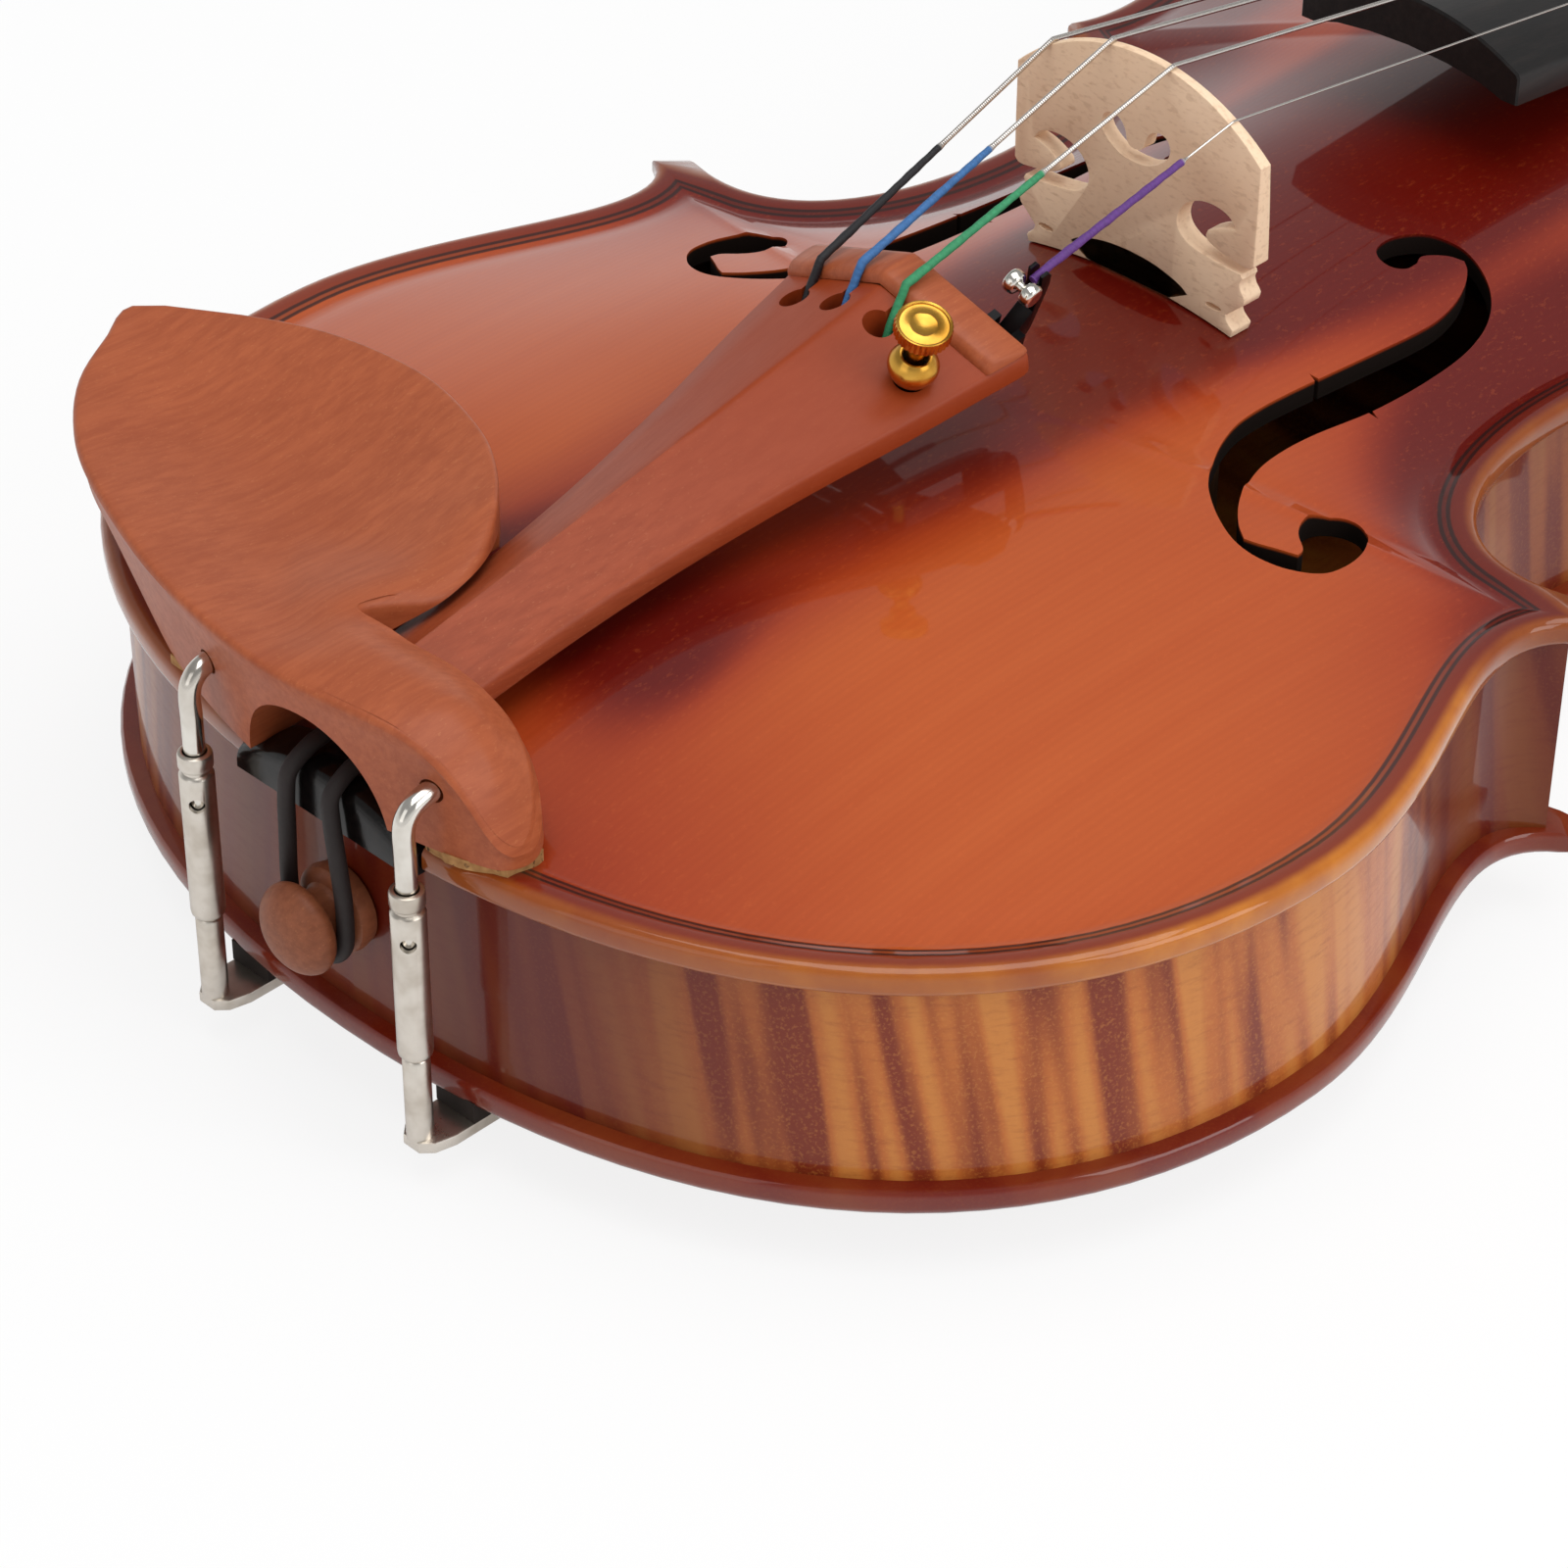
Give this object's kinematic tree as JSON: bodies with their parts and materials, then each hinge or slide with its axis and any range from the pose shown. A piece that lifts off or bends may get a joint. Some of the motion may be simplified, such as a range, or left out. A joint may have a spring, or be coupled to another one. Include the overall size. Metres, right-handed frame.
{
  "type": "violin",
  "caption": "Full size violin with arched plates, sound holes, strings, bridge, tailpiece with fine tuner, carved scroll and a clamped side mounted chinrest.",
  "frame": {"origin": "centre of the small flat rest patch on the crown of the back, near the instrument's balance point", "axes": "+X toward the treble side (E string), +Y from the tail to the scroll, +Z out of the belly"},
  "size_m": [0.203, 0.5973, 0.1],
  "materials": {
    "belly_spruce": "gloss varnish, shaded darker toward the edge",
    "varnished_maple": "gloss varnish over flamed grain",
    "inner_wood": "bare planed wood",
    "bridge_maple": "bare fine grained wood",
    "stained_boxwood": "satin, fine grained",
    "ebony": "satin to gloss black wood",
    "cork": "matt speckled cork",
    "steel_string": "bright wound metal, silk at the tail end",
    "ball_end": "bright plated",
    "black_metal": "black plated, satin",
    "gold_metal": "bright gold plated",
    "nickel": "satin nickel, polished hooks",
    "black_cord": "matt dark synthetic cord"
  },
  "bodies": {
    "body": {"top_plate": "belly_spruce", "back_plate": "varnished_maple", "neck": "varnished_maple", "bass_lower_rib": "varnished_maple", "bass_waist_rib": "varnished_maple", "bass_upper_rib": "varnished_maple", "treble_lower_rib": "varnished_maple", "treble_waist_rib": "varnished_maple", "treble_upper_rib": "varnished_maple", "bass_bar": "inner_wood", "sound_post": "inner_wood", "end_block": "inner_wood", "neck_block": "inner_wood", "bass_lower_corner_block": "inner_wood", "bass_upper_corner_block": "inner_wood", "treble_lower_corner_block": "inner_wood", "treble_upper_corner_block": "inner_wood", "bridge": "bridge_maple", "tailpiece": "stained_boxwood", "tailpiece_fret": "stained_boxwood", "end_button": "stained_boxwood", "chinrest": "stained_boxwood", "fingerboard": "ebony", "nut": "ebony", "saddle": "ebony", "string_g": "steel_string", "string_d": "steel_string", "string_a": "steel_string", "string_e": "steel_string", "tuner_frame": "black_metal", "tuner_pivot_pin": "black_metal", "tuner_collar": "gold_metal", "tail_cord": "black_cord", "clamp_hook_bass": "nickel", "chinrest_cork_bass": "cork", "clamp_hook_treble": "nickel", "chinrest_cork_treble": "cork"},
    "peg_g": {"peg_g": "stained_boxwood", "winding_g": "steel_string"},
    "peg_d": {"peg_d": "stained_boxwood", "winding_d": "steel_string"},
    "peg_a": {"peg_a": "stained_boxwood", "winding_a": "steel_string"},
    "peg_e": {"peg_e": "stained_boxwood", "winding_e": "steel_string"},
    "tuner_stem": {"tuner_screw_stem": "gold_metal"},
    "tuner_head": {"tuner_screw_head": "gold_metal"},
    "tuner_lever": {"tuner_lever": "black_metal", "string_e_ball": "ball_end"},
    "clamp_barrel_bass": {"clamp_barrel_bass": "nickel"},
    "clamp_foot_bass": {"clamp_foot_bass": "nickel", "clamp_pad_bass": "cork"},
    "clamp_barrel_treble": {"clamp_barrel_treble": "nickel"},
    "clamp_foot_treble": {"clamp_foot_treble": "nickel", "clamp_pad_treble": "cork"}
  },
  "joints": [
    {"name": "peg_g_turn", "type": "hinge", "parent": "body", "child": "peg_g", "pos_m": [0, 0.289, 0.02961], "axis": [1, 0, 0], "continuous": true},
    {"name": "peg_d_turn", "type": "hinge", "parent": "body", "child": "peg_d", "pos_m": [0, 0.316, 0.0287], "axis": [1, 0, 0], "continuous": true},
    {"name": "peg_a_turn", "type": "hinge", "parent": "body", "child": "peg_a", "pos_m": [0, 0.329, 0.02903], "axis": [1, 0, 0], "continuous": true},
    {"name": "peg_e_turn", "type": "hinge", "parent": "body", "child": "peg_e", "pos_m": [0, 0.302, 0.0289], "axis": [1, 0, 0], "continuous": true},
    {"name": "tuner_stem_slide", "type": "slide", "parent": "body", "child": "tuner_stem", "axis": [0.3585, -0.1653, 0.9188], "range_m": [-0.002, 0]},
    {"name": "tuner_head_turn", "type": "hinge", "parent": "tuner_stem", "child": "tuner_head", "pos_m": [0.0126, -0.11942, 0.0772], "axis": [0.3585, -0.1653, 0.9188], "range_deg": [-1440, 0]},
    {"name": "tuner_lever_tilt", "type": "hinge", "parent": "body", "child": "tuner_lever", "pos_m": [0.00916, -0.09864, 0.07183], "axis": [0.9335, 0.0635, -0.3528], "range_deg": [0, 6.1]},
    {"name": "clamp_barrel_bass_turn", "type": "hinge", "parent": "body", "child": "clamp_barrel_bass", "pos_m": [-0.021, -0.2196, 0.035], "axis": [0, 0, 1], "range_deg": [0, 1440]},
    {"name": "clamp_foot_bass_slide", "type": "slide", "parent": "body", "child": "clamp_foot_bass", "axis": [0, 0, 1], "range_m": [-0.0048, 0]},
    {"name": "clamp_barrel_treble_turn", "type": "hinge", "parent": "body", "child": "clamp_barrel_treble", "pos_m": [0.021, -0.2196, 0.035], "axis": [0, 0, 1], "range_deg": [0, 1440]},
    {"name": "clamp_foot_treble_slide", "type": "slide", "parent": "body", "child": "clamp_foot_treble", "axis": [0, 0, 1], "range_m": [-0.0048, 0]}
  ],
  "couplings": [
    {"joint": "tuner_stem_slide", "follows": "tuner_head_turn", "m_per_rad": 0.000079577},
    {"joint": "tuner_lever_tilt", "follows": "tuner_head_turn", "ratio": -0.0040809},
    {"joint": "clamp_foot_bass_slide", "follows": "clamp_barrel_bass_turn", "m_per_rad": -0.00019099},
    {"joint": "clamp_foot_treble_slide", "follows": "clamp_barrel_treble_turn", "m_per_rad": -0.00019099}
  ]
}
